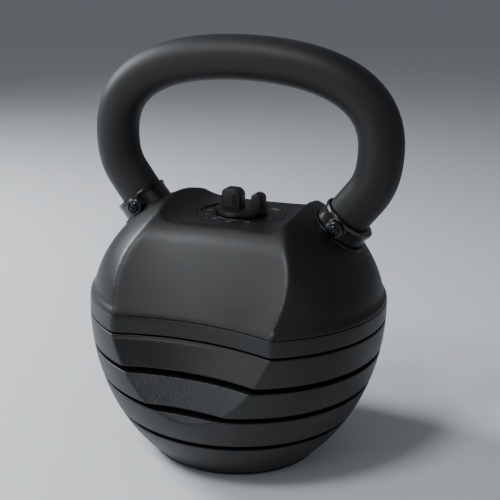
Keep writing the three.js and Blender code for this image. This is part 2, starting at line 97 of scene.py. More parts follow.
def finished(obj, kind, **settings):
    only(obj)
    modifier = obj.modifiers.new(kind, kind)
    for key, value in settings.items():
        setattr(modifier, key, value)
    bpy.ops.object.modifier_apply(modifier=modifier.name)
    return obj


def combine(obj, tool, how="DIFFERENCE"):
    finished(obj, "BOOLEAN", operation=how, object=tool, solver="EXACT")
    bpy.data.objects.remove(tool, do_unlink=True)
    return obj


def twin(obj, name):
    copy = obj.copy()
    copy.data = obj.data.copy()
    copy.name = name
    copy.data.name = name
    bpy.context.collection.objects.link(copy)
    return copy


def pickEdges(obj, test):
    editing(obj, "EDGE")
    selectAll(False)
    objectMode()
    points = obj.data.vertices
    for edge in obj.data.edges:
        a, b = (points[i].co for i in edge.vertices)
        edge.select = bool(test(a, b))
    bpy.ops.object.mode_set(mode="EDIT")


def bevelEdges(obj, test, width, segments=3):
    pickEdges(obj, test)
    bpy.ops.mesh.bevel(offset=width, segments=segments, affect="EDGES")
    objectMode()
    return obj


def smoothShade(obj, degrees=35):
    only(obj)
    bpy.ops.object.shade_smooth_by_angle(angle=math.radians(degrees))
    return obj


def cleaned(obj):
    editing(obj)
    selectAll(True)
    bpy.ops.mesh.remove_doubles(threshold=0.000002)
    bpy.ops.mesh.normals_make_consistent(inside=False)
    objectMode()
    return obj


# A profile of (radius, height) in millimetres, drawn point by point and spun about an upright axis.
def spun(name, profile, steps=96, centre=(0, 0)):
    start = Vector((centre[0] + profile[0][0], centre[1], profile[0][1])) * mm
    bpy.ops.mesh.primitive_plane_add(size=mm, location=start)
    obj = settle(named(name))
    editing(obj)
    selectAll(True)
    bpy.ops.mesh.merge(type="CENTER")
    for (r0, z0), (r1, z1) in zip(profile, profile[1:]):
        step = Vector((r1 - r0, 0, z1 - z0)) * mm
        bpy.ops.mesh.extrude_vertices_move(TRANSFORM_OT_translate={"value": step})
    selectAll(True)
    axisPoint = (centre[0] * mm, centre[1] * mm, 0)
    bpy.ops.mesh.spin(steps=steps, angle=2 * math.pi, center=axisPoint, axis=(0, 0, 1), use_auto_merge=True)
    objectMode()
    return cleaned(obj)


def drum(name, radius, low, high, sides=64, x=0, y=0):
    bpy.ops.mesh.primitive_cylinder_add(
        vertices=sides, radius=radius * mm, depth=(high - low) * mm,
        location=(x * mm, y * mm, (low + high) / 2 * mm))
    return settle(named(name))


def block(name, low, high):
    bpy.ops.mesh.primitive_cube_add(size=1, location=[(a + b) / 2 * mm for a, b in zip(low, high)])
    obj = named(name)
    obj.scale = [(b - a) * mm for a, b in zip(low, high)]
    return settle(obj)


# Materials.
def linear(hexColour):
    values = []
    for at in (0, 2, 4):
        c = int(hexColour[at:at + 2], 16) / 255
        values.append(c / 12.92 if c <= 0.04045 else ((c + 0.055) / 1.055) ** 2.4)
    return (*values, 1)


def addNode(tree, kind, settings=None, links=None):
    node = tree.nodes.new(kind)
    for key, value in (settings or {}).items():
        if key in node.inputs:
            node.inputs[key].default_value = value
        else:
            setattr(node, key, value)
    for key, source in (links or {}).items():
        tree.links.new(source, node.inputs[key])
    return node


def emptyMaterial(name):
    material = bpy.data.materials.new(name)
    material.use_nodes = True
    tree = material.node_tree
    tree.nodes.clear()
    coordinates = addNode(tree, "ShaderNodeTexCoord")
    return material, tree, coordinates.outputs["Object"]


# A surface with a grain bump, slow colour drift and uneven gloss, all from real sizes in millimetres.
def surfaceMaterial(name, look):
    material, tree, where = emptyMaterial(name)
    grain = addNode(tree, "ShaderNodeTexNoise",
                    {"Scale": 1000 / look["grain"], "Detail": 3.0, "Roughness": 0.6}, {"Vector": where})
    drift = addNode(tree, "ShaderNodeTexNoise",
                    {"Scale": 1000 / look["drift"], "Detail": 4.0, "Roughness": 0.55}, {"Vector": where})
    colour = addNode(tree, "ShaderNodeValToRGB", {}, {"Fac": drift.outputs["Fac"]})
    colour.color_ramp.elements[0].position = 0.3
    colour.color_ramp.elements[1].position = 0.72
    colour.color_ramp.elements[0].color = linear(look["dark"])
    colour.color_ramp.elements[1].color = linear(look["light"])
    rough = addNode(tree, "ShaderNodeMapRange",
                    {"From Min": 0.3, "From Max": 0.7, "To Min": look["rough"][0], "To Max": look["rough"][1]},
                    {"Value": drift.outputs["Fac"]})
    bump = addNode(tree, "ShaderNodeBump",
                   {"Strength": look["bump"], "Distance": look["depth"] * mm}, {"Height": grain.outputs["Fac"]})
    shader = addNode(tree, "ShaderNodeBsdfPrincipled",
                     {"Metallic": look.get("metal", 0.0), "IOR": look.get("ior", 1.5),
                      "Coat Weight": look.get("coat", 0.0), "Coat Roughness": 0.2,
                      "Sheen Weight": look.get("sheen", 0.0), "Sheen Roughness": 0.5},
                     {"Base Color": colour.outputs["Color"], "Roughness": rough.outputs["Result"],
                      "Normal": bump.outputs["Normal"]})
    addNode(tree, "ShaderNodeOutputMaterial", {}, {"Surface": shader.outputs["BSDF"]})
    return material


# Sizes in millimetres: grain is the width of the fine texture, drift the width of the slow changes.
finishes = {
    # ABS moulded against a spark-eroded tool: dull charcoal with a fine sandy grain.
    "absSparkGrain": dict(dark="0e0f10", light="131415", grain=0.9, depth=0.12, bump=0.45,
                          drift=38, rough=(0.4, 0.48), ior=1.47),
    # The same ABS where the tool was etched for a coarse leather-like sand: paler, with glinting crumbs.
    "absCoarseGrain": dict(dark="1a1b1e", light="242528", grain=1.7, depth=0.9, bump=1.0,
                           drift=26, rough=(0.3, 0.42), ior=1.54),
    # Soft-touch TPE moulded over the tube: smoother and duller, with a faint bloom at glancing angles.
    "softTouchTpe": dict(dark="0f1011", light="131415", grain=0.7, depth=0.07, bump=0.35,
                         drift=45, rough=(0.52, 0.6), sheen=0.03, ior=1.45),
    # Glass-filled nylon, moulded and polished: near black with a clear sheen.
    "polishedNylon": dict(dark="0b0c0d", light="101112", grain=1.6, depth=0.05, bump=0.2,
                          drift=22, rough=(0.24, 0.34), coat=0.15, ior=1.52),
    # Gloss ABS of the dial knob.
    "glossAbs": dict(dark="08090a", light="0c0d0e", grain=1.8, depth=0.04, bump=0.15,
                     drift=20, rough=(0.36, 0.46), ior=1.5),
    # Grey iron, sand cast and dipped in black paint: pitted and dull.
    "castIronPainted": dict(dark="26272a", light="3a3b3d", grain=1.7, depth=0.5, bump=0.7,
                            drift=14, rough=(0.55, 0.8), metal=0.35, ior=1.6),
    # Zinc-plated mild steel, pressed: cool grey, lightly clouded.
    "zincSteel": dict(dark="8d9195", light="b2b5b8", grain=0.5, depth=0.03, bump=0.25,
                      drift=9, rough=(0.26, 0.44), metal=1.0),
    # Steel screw with black oxide: dark with an oily glint.
    "blackOxideSteel": dict(dark="2e3033", light="3e4145", grain=0.5, depth=0.03, bump=0.25,
                            drift=6, rough=(0.2, 0.34), metal=1.0),
    # Black natural rubber, compression moulded.
    "mouldedRubber": dict(dark="17181a", light="1f2022", grain=1.1, depth=0.12, bump=0.5,
                          drift=25, rough=(0.75, 0.9), ior=1.52),
    # White pad-printing ink.
    "printedInk": dict(dark="6d7073", light="808386", grain=0.6, depth=0.02, bump=0.2,
                       drift=10, rough=(0.45, 0.6), ior=1.5),
    # Natural acetal, turned: milky and waxy.
    "acetal": dict(dark="d5d2ca", light="e2dfd8", grain=1.0, depth=0.03, bump=0.2,
                   drift=16, rough=(0.35, 0.5), ior=1.48),
}
paint = {name: surfaceMaterial(name, look) for name, look in finishes.items()}
print("materials made:", len(paint))


def finish(obj, material, slotName, body, *nodes):
    obj.data.materials.clear()
    obj.data.materials.append(paint[material])
    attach(obj, body)
    if nodes:
        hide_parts(*nodes)
    return obj


# The outer form that the casing and the plates are sliced from, in millimetres.
form = {
    "ballRadius": 115, "waistHeight": 117, "lowerDepth": 141,
    "domeRadius": 113.8, "domeWaist": 114, "domeHeight": 96.3,
    "casingSeam": 127, "lipHeight": 4.5,
    "seams": [114, 89.8, 65.3, 38.1],
    "faceRadius": 175, "faceBand": 88, "lowerLean": 0.285, "upperLean": 0.63, "faceTop": 176,
    "valleyFloor": 187.6, "valleyHalf": 34, "valleyCorner": 18,
    "softVoxel": 1.5, "softPasses": 16, "crispVoxel": 1.0, "crispPasses": 3,
    "chamferStart": 110, "chamferLean": 0.4, "faceCurl": 0.03,
    "lipSink": 0.3, "lipSlope": 1.2, "sides": 160, "faceSides": 220,
    "rollSteps": 4, "rollReach": 105, "rimShare": 0.997,
}


def lowerRadius(z):
    drop = (z - form["waistHeight"]) / form["lowerDepth"]
    return form["ballRadius"] * math.sqrt(1 - drop * drop)


def faceDepth(z, chamfered=False):
    band, seam, top = form["seams"][0], form["casingSeam"], form["faceTop"]
    if z < band:
        chamfer = max(0, z - form["chamferStart"]) * form["chamferLean"] if chamfered else 0
        return form["faceBand"] + (band - z) * form["lowerLean"] - chamfer
    if z < seam:
        return form["faceBand"]
    over = max(0, z - top)
    lean = form["upperLean"]
    return form["faceBand"] - (min(z, top) - seam) * lean - over * (lean + over * form["faceCurl"])


def ballProfile():
    seam, lip = form["casingSeam"], form["lipHeight"]
    points = [(0, 0)]
    points += [(lowerRadius(seam * i / 40), seam * i / 40) for i in range(41)]
    points.append((lowerRadius(seam) - form["lipSink"], seam + lip - form["lipSlope"]))
    lean = math.asin((seam + lip - form["domeWaist"]) / form["domeHeight"])
    for i in range(40):
        angle = lean + (math.pi / 2 - lean) * i / 40
        points.append((form["domeRadius"] * math.cos(angle),
                       form["domeWaist"] + form["domeHeight"] * math.sin(angle)))
    points.append((0, form["domeWaist"] + form["domeHeight"]))
    return points


def faceCutter(side, chamfered):
    reach = form["faceRadius"] + form["faceBand"]
    heights = [-5, form["seams"][1], form["chamferStart"], form["seams"][0] - 0.01, form["casingSeam"]]
    heights += [form["casingSeam"] + i * 7 for i in range(1, 7)]
    heights += [form["faceTop"] + i * 3 for i in range(0, 12)]
    profile = [(0, heights[0])] + [(reach - faceDepth(z, chamfered), z) for z in heights] + [(0, heights[-1])]
    return spun("faceCutter", profile, form["faceSides"], (0, side * reach))


def valleyCutter():
    floor, half = form["valleyFloor"], form["valleyHalf"] + form["valleyCorner"]
    obj = block("valleyCutter", (-half, -150, floor), (half, 150, 260))
    low = floor * mm + 0.0001
    bevelEdges(obj, lambda a, b: a.z < low and b.z < low and abs(a.x - b.x) < 0.001,
               form["valleyCorner"] * mm, 12)
    return obj


def outerForm(name, voxel, passes, chamfered):
    obj = spun(name, ballProfile(), form["sides"])
    combine(obj, faceCutter(-1, chamfered))
    combine(obj, faceCutter(1, chamfered))
    combine(obj, valleyCutter())
    finished(obj, "REMESH", mode="VOXEL", voxel_size=voxel * mm, adaptivity=0)
    finished(obj, "SMOOTH", factor=0.5, iterations=passes)
    return obj


softForm = outerForm("softForm", form["softVoxel"], form["softPasses"], False)
crispForm = outerForm("crispForm", form["crispVoxel"], form["crispPasses"], True)
print("outer forms ready:", len(softForm.data.polygons), len(crispForm.data.polygons))


# One end of a slice: the open edge is rolled over, drawn in to the land, carried to the seam and closed.
def closeEnd(z, up, roll, land=None, landFace=None):
    steps = form["rollSteps"]
    sign = 1 if up else -1
    for i in range(1, steps + 1):
        a0 = math.pi / 2 * (i - 1) / steps
        a1 = math.pi / 2 * i / steps
        rise = roll * (math.sin(a1) - math.sin(a0)) * sign
        draw = 1 - roll * (math.cos(a0) - math.cos(a1)) / form["rollReach"]
        bpy.ops.mesh.extrude_region_move(TRANSFORM_OT_translate={"value": (0, 0, rise * mm)})
        bpy.ops.transform.resize(value=(draw, draw, 1), center_override=(0, 0, 0))
    bpy.ops.mesh.extrude_region_move(TRANSFORM_OT_translate={"value": (0, 0, 0)})
    bpy.ops.transform.resize(value=(form["rimShare"], form["rimShare"], 1), center_override=(0, 0, 0))
    if land:
        bpy.ops.mesh.extrude_region_move(TRANSFORM_OT_translate={"value": (0, 0, 0)})
        bpy.ops.transform.resize(value=(land, land, 1), center_override=(0, 0, 0))
        bpy.ops.mesh.extrude_region_move(TRANSFORM_OT_translate={"value": (0, 0, (landFace - z) * mm)})
    bpy.ops.mesh.edge_face_add()


def slicedForm(source, name, low, high, lowLand=None, highLand=None, lowRoll=1.0, highRoll=1.0):
    obj = twin(source, name)
    editing(obj)
    if high is not None:
        selectAll(True)
        bpy.ops.mesh.bisect(plane_co=(0, 0, (high - highRoll) * mm), plane_no=(0, 0, 1), clear_outer=True)
        closeEnd(high, True, highRoll, *(highLand or (None, None)))
    selectAll(True)
    bpy.ops.mesh.bisect(plane_co=(0, 0, (low + lowRoll) * mm), plane_no=(0, 0, 1), clear_inner=True)
    closeEnd(low, False, lowRoll, *(lowLand or (None, None)))
    objectMode()
    return cleaned(obj)


# Casing, in two mouldings that meet at the seam.
casing = {
    "gap": 1.5, "cavityHalf": 62, "bushRadius": 13.3,
    "dialPocket": 31, "pocketFloor": 174, "dialRecess": 34, "dialLedge": 185.1,
    "legAngle": 37, "screwHalf": 79, "screwHeight": 188,
    "collarRadius": 19.8, "collarOutward": 1.8, "collarDrop": 8, "collarRise": 8.3,
    "spigotRadius": 18.5, "spigotLength": 13, "spare": 0.3, "seamSink": 0.12,
    "upperRoll": 0.7, "lowerRoll": 0.8, "lipRoll": 0.5, "landShare": 0.9, "landSink": 0.15,
    "boltReach": 101, "boltAngles": (20, 160, 200, 340), "boltRadius": 4.6, "shade": 32,
    # radius and height of the raised saddle that each collar sits in
    "saddle": [(0, -20), (21.6, -20), (22.5, -6.4), (22.45, -5.4), (22.1, -4.9), (21.6, -4.75), (21.1, -4.9),
               (20.9, -5.4), (0, -5.4)],
    # the hollow that holds the core weight
    "cavity": [(0, 119), (90, 119), (90, 126), (87, 138), (72, 150), (50, 158), (0, 158)],
}
legTurn = math.radians(casing["legAngle"])


# Moves a piece modelled upright round the Z axis onto the handle's leg, with z = 0 at the screw.
def onLeg(obj, side, outward=0):
    shift = Vector((outward, 0, 0))
    tilt = Matrix.Rotation(legTurn * side, 4, "Y")
    place = Matrix.Translation(Vector((side * casing["screwHalf"], 0, casing["screwHeight"])) * mm)
    obj.matrix_world = place @ tilt @ Matrix.Translation(shift * side * mm)
    return settle(obj)


def cavityCutter():
    obj = spun("cavityCutter", casing["cavity"], 48)
    half = casing["cavityHalf"]
    return combine(obj, block("cavitySides", (-120, -half, 100), (120, half, 170)), "INTERSECT")


def casingUpper():
    seam, spare = form["casingSeam"], casing["spare"]
    obj = slicedForm(softForm, "casingUpper", seam + casing["seamSink"], None, lowRoll=casing["upperRoll"])
    for side in (-1, 1):
        saddle = spun("saddle", casing["saddle"], 96)
        combine(obj, onLeg(saddle, side, casing["collarOutward"]), "UNION")
    for side in (-1, 1):
        seat = drum("seat", casing["collarRadius"] + spare, -casing["collarDrop"] - spare, 60, 96)
        combine(obj, onLeg(seat, side, casing["collarOutward"]))
        depth = casing["collarDrop"] + casing["spigotLength"] + spare
        socket = drum("socket", casing["spigotRadius"] + spare, -depth, 2, 96)
        combine(obj, onLeg(socket, side))
    combine(obj, drum("bossBore", casing["bushRadius"], 150, 180, 48))
    combine(obj, drum("pocket", casing["dialPocket"], casing["pocketFloor"], 200, 96))
    combine(obj, drum("recess", casing["dialRecess"], casing["dialLedge"], 200, 128))
    combine(obj, cavityCutter())
    return smoothShade(cleaned(obj), casing["shade"])


def casingLower():
    seam = form["seams"][0]
    low = seam + casing["gap"] / 2
    land = (casing["landShare"], seam + casing["landSink"])
    obj = slicedForm(softForm, "casingLower", low, form["casingSeam"] - casing["seamSink"], lowLand=land,
                     lowRoll=casing["lowerRoll"], highRoll=casing["lipRoll"])
    combine(obj, cavityCutter())
    combine(obj, drum("bore", casing["bushRadius"], 100, 130, 48))
    for angle in casing["boltAngles"]:
        x = casing["boltReach"] * math.cos(math.radians(angle))
        y = casing["boltReach"] * math.sin(math.radians(angle))
        combine(obj, drum("bolt", casing["boltRadius"], 100, low + 3, 24, x, y))
    combine(obj, studSet(0, casing["spare"]))
    return smoothShade(obj, casing["shade"])


# Four weight plates, numbered from the top down; the fourth is the base.
plate = {
    "gap": 4.0, "landShare": 0.885, "landSink": 0.15, "roll": 1.0, "footRoll": 2.6,
    "chamber": 24.5, "chamberFloor": 10, "ringRecess": 34.3, "ringThickness": 3.0, "ringSpare": 0.4,
    "studInset": 18, "studRadius": 3.4, "studRise": 3.0, "studAngles": (24, 204), "studSpare": 0.3,
    "footProud": 1.5, "footHole": 62.3, "footThickness": 5.3,
    "weightGrow": 1.004, "weightHeadroom": 0.6, "weightDrop": 0.25,
    "grainNear": 0.45, "grainInset": 1.0, "shade": 30,
}
seams = form["seams"]
plateFloors = seams[1:] + [0]


def studSet(index, spare):
    reach = lowerRadius(seams[index]) - plate["studInset"]
    low, high = seams[index] - 2, seams[index] + plate["studRise"] + spare
    r = plate["studRadius"] + spare
    whole = None
    for angle in plate["studAngles"]:
        x, y = reach * math.cos(math.radians(angle)), reach * math.sin(math.radians(angle))
        profile = [(0, low), (r, low), (r, high - 1), (r - 0.3, high - 0.4), (r - 1, high), (0, high)]
        stud = spun("stud", profile, 24)
        stud.location = (x * mm, y * mm, 0)
        settle(stud)
        whole = combine(whole, stud, "UNION") if whole else stud
    return whole


# A copy of a CAD piece, merged and grown a little, that cuts its own pocket.
def pocketCutter(node):
    source = frame["nodes"][node]
    obj = bpy.data.objects.new("pocketCutter", source.data.copy())
    bpy.context.collection.objects.link(obj)
    obj.matrix_world = source.matrix_world.copy()
    only(obj)
    bpy.ops.object.make_single_user(object=True, obdata=True)
    settle(obj)
    editing(obj)
    selectAll(True)
    bpy.ops.mesh.remove_doubles(threshold=0.00001)
    objectMode()
    heights = [v.co.z for v in obj.data.vertices]
    low, high = min(heights), max(heights)
    middle, grow = (low + high) / 2, plate["weightGrow"]
    taller = 1 + plate["weightHeadroom"] * mm / (high - low)
    editing(obj)
    selectAll(True)
    bpy.ops.transform.resize(value=(grow, grow, taller), center_override=(0, 0, middle))
    bpy.ops.transform.translate(value=(0, 0, -plate["weightDrop"] * mm))
    objectMode()
    return obj


def plateShell(index):
    top, bottom = seams[index], plateFloors[index]
    topGap = casing["gap"] if index == 0 else plate["gap"]
    isBase = index == 3
    share, sink = plate["landShare"], plate["landSink"]
    low = plate["footProud"] if isBase else bottom + plate["gap"] / 2
    lowLand = None if isBase else (share, bottom + sink)
    obj = slicedForm(crispForm, f"plate{index + 1}Shell", low, top - topGap / 2, lowLand, (share, top - sink),
                     plate["footRoll"] if isBase else plate["roll"], plate["roll"])
    combine(obj, studSet(index, 0), "UNION")
    chamberFloor = plate["chamberFloor"] if isBase else bottom - 2
    ringLow = top - sink - plate["ringThickness"] - plate["ringSpare"]
    combine(obj, drum("chamber", plate["chamber"], chamberFloor, top + 2, 64))
    combine(obj, drum("ringRecess", plate["ringRecess"], ringLow, top + 2, 96))
    combine(obj, pocketCutter(f"plate_{index + 1}_weight"))
    if isBase:
        combine(obj, drum("footHole", plate["footHole"], -2, plate["footThickness"], 96))
    else:
        combine(obj, studSet(index + 1, plate["studSpare"]))
    return smoothShade(obj, plate["shade"])


# Below the top plate the hollow facets carry the coarse grain; the ball itself is fine.
def grainFacets(obj):
    obj.data.materials.append(paint["absCoarseGrain"])
    reach = form["faceRadius"] + form["faceBand"]
    for face in obj.data.polygons:
        x, y, z = (c / mm for c in face.center)
        fromAxis = math.hypot(x, abs(y) - reach)
        onFacet = abs(fromAxis - reach + faceDepth(z, True)) < plate["grainNear"]
        inside = math.hypot(x, y) < lowerRadius(z) - plate["grainInset"]
        if onFacet and inside and abs(face.normal.y) > 0.5:
            face.material_index = 1


upper = finish(casingUpper(), "absSparkGrain", "casing_plastic", "handle_core", "casing_upper")
lower = finish(casingLower(), "absSparkGrain", "casing_plastic", "handle_core", "casing_lower")
print("casing ready")
plateBodies = ["plate_1", "plate_2", "plate_3", "base"]
for number in range(4):
    shell = finish(plateShell(number), "absSparkGrain", "casing_plastic", plateBodies[number],
                   f"plate_{number + 1}_shell")
    if number:
        grainFacets(shell)
print("plates ready")
for scrap in (softForm, crispForm):
    bpy.data.objects.remove(scrap, do_unlink=True)


# Lock rings, one let into the top of each plate.
lock = {
    "outer": 34, "bore": 12, "thickness": 3, "sink": 3.35, "edge": 0.4,
    "keyReach": 22.5, "keyClearance": 18, "keyStep": 30,
    "screwReach": 29, "screwStart": 135, "screwStep": 15, "shank": 2, "head": 3.6, "headDepth": 1.7,
}


def wedge(name, reach, low, high, start, sweep):
    bpy.ops.mesh.primitive_plane_add(size=1, rotation=(math.pi / 2, 0, 0))
    obj = named(name)
    obj.scale = (reach * mm, (high - low) * mm, 1)
    obj.location = (reach / 2 * mm, 0, (low + high) / 2 * mm)
    settle(obj)
    editing(obj)
    selectAll(True)
    bpy.ops.mesh.spin(steps=12, angle=-math.radians(sweep), center=(0, 0, 0), axis=(0, 0, 1))
    objectMode()
    obj.rotation_euler = (0, 0, math.radians(start))
    return cleaned(settle(obj))


def lockRing(index):
    low = seams[index] - lock["sink"]
    high, r, b, e = low + lock["thickness"], lock["outer"], lock["bore"], lock["edge"]
    profile = [(b, low + e), (b + e, low), (r - e, low), (r, low + e), (r, high - e), (r - e, high), (b + e, high),
               (b, high - e), (b, low + e)]
    obj = spun(f"lockRing{index + 1}", profile, 96)
    for half in (0, 180):  # the key slot gets wider from plate to plate
        sweep = 2 * lock["keyClearance"] + lock["keyStep"] * index
        combine(obj, wedge("keySlot", lock["keyReach"], low - 1, high + 1, half - lock["keyClearance"], sweep))
        angle = math.radians(lock["screwStart"] + lock["screwStep"] * index + half)
        x, y = lock["screwReach"] * math.cos(angle), lock["screwReach"] * math.sin(angle)
        combine(obj, drum("shankHole", lock["shank"], low - 1, high + 1, 24, x, y))
        combine(obj, drum("headHole", lock["head"], high - lock["headDepth"], high + 1, 32, x, y))
    return smoothShade(obj, 30)


for number in range(4):
    finish(lockRing(number), "zincSteel", "steel", plateBodies[number], f"plate_{number + 1}_lock_ring")
print("lock rings ready")


# Handle grip, a loop drawn as one curve; the right half is listed and the left mirrors it.
handle = {
    "gripRadius": 16.6, "crown": 303.6, "crownPull": 50.6, "waist": (104.75, 243.6),
    "pullUp": 48.3, "pullDown": 23.7, "legPull": 11.8, "straight": 20.3, "buried": 20,
}


def handleGrip():
    leg = Vector((math.sin(legTurn), 0, math.cos(legTurn)))
    screw = Vector((casing["screwHalf"], 0, casing["screwHeight"]))
    end, top = screw - leg * handle["buried"], screw + leg * handle["straight"]
    waist = Vector((handle["waist"][0], 0, handle["waist"][1]))
    crown = Vector((0, 0, handle["crown"]))
    upright, across = Vector((0, 0, 1)), Vector((1, 0, 0))
    right = [
        (crown, crown - across * handle["crownPull"], crown + across * handle["crownPull"]),
        (waist, waist + upright * handle["pullUp"], waist - upright * handle["pullDown"]),
        (top, top + leg * handle["legPull"], top - leg * handle["straight"] / 3),
        (end, end + leg * handle["straight"] / 3, end),
    ]
    flip = Vector((-1, 1, 1))
    left = [(p * flip, b * flip, a * flip) for p, a, b in reversed(right[1:])]
    bpy.ops.curve.primitive_bezier_curve_add()
    curve = bpy.context.object
    curve.name = "handleGrip"
    spline = curve.data.splines[0]
    spline.bezier_points.add(len(left) + len(right) - 2)
    for point, (at, before, after) in zip(spline.bezier_points, left + right):
        point.handle_left_type = point.handle_right_type = "FREE"
        point.co, point.handle_left, point.handle_right = at * mm, before * mm, after * mm
    curve.data.resolution_u = 22
    curve.data.bevel_depth = handle["gripRadius"] * mm
    curve.data.bevel_resolution = 14
    curve.data.use_fill_caps = True
    only(curve)
    bpy.ops.object.convert(target="MESH")
    return smoothShade(cleaned(settle(named("handleGrip"))), 40)


finish(handleGrip(), "softTouchTpe", "grip_rubber", "handle_core", "handle_grip")
print("grip ready")


# Collars and their screws.
collar = {
    "boss": 6.5, "bossFlare": 1.2, "reach": 25, "seat": 4.75, "seatDepth": 1.6,
    "bore": 16.95, "mouth": 17.9, "lipProud": 0.7,
}
crossHead = {"radius": 4.2, "height": 2.6, "shank": 1.9, "length": 12, "turn": 28, "turnStep": 17, "sink": 0.1}


def alongY(obj, x, y, z, facing):
    obj.matrix_world = Matrix.Translation(Vector((x, y, z)) * mm) @ Matrix.Rotation(math.pi / 2 * facing, 4, "X")
    return settle(obj)


def collarPiece(side, name):
    r = casing["collarRadius"]
    rise, drop = casing["collarRise"], casing["collarDrop"]
    lip = r + collar["lipProud"]
    band = [(0, -drop), (r - 0.5, -drop), (r, -drop + 0.5), (r, rise - 3.4), (r + 0.2, rise - 3.0),
            (lip, rise - 2.6), (lip, rise - 0.8), (r + 0.45, rise - 0.25), (r - 0.1, rise), (0, rise)]
    obj = onLeg(spun(name, band, 128), side, casing["collarOutward"])
    spigot = drum("spigot", casing["spigotRadius"], -drop - casing["spigotLength"], 0, 96)
    combine(obj, onLeg(spigot, side), "UNION")
    b, reach = collar["boss"], collar["reach"]
    flare = b + collar["bossFlare"]
    boss = spun("boss", [(0, -reach), (b - 1.4, -reach), (b - 0.75, -reach + 0.2), (b - 0.2, -reach + 0.75),
                         (b, -reach + 1.6), (flare, -reach + 7), (flare, reach - 7), (b, reach - 1.6),
                         (b - 0.2, reach - 0.75), (b - 0.75, reach - 0.2), (b - 1.4, reach), (0, reach)], 64)
    combine(obj, alongY(boss, side * casing["screwHalf"], 0, casing["screwHeight"], 1), "UNION")
    inner, mouth = collar["bore"], collar["mouth"]
    bore = spun("bore", [(0, -40), (inner, -40), (inner, rise - 1.2), (mouth, rise + 0.2), (mouth, rise + 5),
                         (0, rise + 5)], 96)
    combine(obj, onLeg(bore, side))
    for facing in (-1, 1):
        y = facing * (reach - collar["seatDepth"] / 2 + 2)
        seat = drum("seat", collar["seat"], -collar["seatDepth"] / 2 - 2, collar["seatDepth"] / 2 + 2, 48)
        combine(obj, alongY(seat, side * casing["screwHalf"], y, casing["screwHeight"], 1))
    return smoothShade(cleaned(obj), 30)


def crossScrew(name):
    r, h = crossHead["radius"], crossHead["height"]
    shank, length = crossHead["shank"], crossHead["length"]
    dome = [(0, -h), (r * 0.45, -h * 0.98), (r * 0.75, -h * 0.86), (r * 0.93, -h * 0.6), (r, -h * 0.25),
            (r, 0), (shank, 0), (shank, length - 0.5), (shank - 0.7, length), (0, length)]
    obj = spun(name, dome, 48)
    arm, half = r * 0.62, r * 0.13
    for turned in (0, 1):
        size = (arm, half) if turned else (half, arm)
        slotTool = block("slot", (-size[0], -size[1], -h - 1), (size[0], size[1], -h * 0.35))
        combine(obj, slotTool)
    dip = spun("dip", [(0, -h * 0.2), (r * 0.3, -h - 0.5), (0, -h - 0.5)], 24)
    combine(obj, dip)
    return smoothShade(obj, 30)


screwModel = crossScrew("screwModel")
for side, sideName in ((-1, "left"), (1, "right")):
    piece = collarPiece(side, f"{sideName}Collar")
    finish(piece, "polishedNylon", "gloss_plastic", "handle_core", f"collar_{sideName}")
    for facing, faceName in ((-1, "front"), (1, "back")):
        screw = twin(screwModel, f"{sideName}{faceName.title()}Screw")
        spin = Matrix.Rotation(math.radians(crossHead["turn"] + crossHead["turnStep"] * side), 4, "Z")
        level = facing * (collar["reach"] - collar["seatDepth"] + crossHead["sink"])
        turnTo = Matrix.Rotation(math.pi / 2 * facing, 4, "X")
        screw.matrix_world = Matrix.Translation(
            Vector((side * casing["screwHalf"], level, casing["screwHeight"])) * mm) @ turnTo @ spin
        finish(settle(screw), "blackOxideSteel", "black_steel", "handle_core",
               f"collar_screw_{sideName}_{faceName}")
bpy.data.objects.remove(screwModel, do_unlink=True)
print("collars ready")


# Dial knob with its two fins, and the marked ring round it.
dial = {
    "radius": 20, "low": 187.3, "high": 191.7, "thickness": 12, "edge": 1.1,
    "leftFin": dict(span=(-14.4, 1.1), top=206.1, crowns=(4, 6)),
    "rightFin": dict(span=(9.4, 18.2), top=203.9, crowns=(3, 4.5)),
    "sleeve": 14, "sleeveLow": 181, "bore": 9.3, "boreTop": 190.3,
    "ribCount": 4, "ribStart": -4.9, "ribPitch": 1.2, "ribHalf": 0.3, "ribDeep": 0.45, "ribHeights": (193.5, 202.5),
    "ringOuter": 33.6, "ringInner": 14.6, "ringLow": 185.25, "ringHigh": 186.8, "rimHigh": 187.9, "rimWidth": 1.5,
    "ringStep": 21.5, "ringRise": 0.35, "ringSlope": 0.3,
    "marks": ("10", "15", "20", "25", "30"), "stepDegrees": 30, "numberRadius": 26.2, "textHeight": 4.4,
    "inkHeight": 0.06, "tickStarts": (30.9, 30.2), "tickEnd": 32, "tickHalf": 0.28,
}


def fin(name, look):
    half = dial["thickness"] / 2
    left, right = look["span"]
    obj = block(name, (left, -half, dial["high"] - 1.5), (right, half, look["top"]))
    top = look["top"] * mm - 0.0001
    middle = (left + right) / 2 * mm
    for side, crown in zip((-1, 1), look["crowns"]):
        bevelEdges(obj, lambda a, b: a.z > top and b.z > top and abs(a.x - b.x) < 0.0001
                   and (a.x - middle) * side > crown * 0.1 * mm, crown * mm, 10)
    bevelEdges(obj, lambda a, b: max(a.z, b.z) > dial["high"] * mm and abs(abs(a.y) - half * mm) < 0.0001
               and abs(a.y - b.y) < 0.0001, dial["edge"] * mm, 4)
    return obj


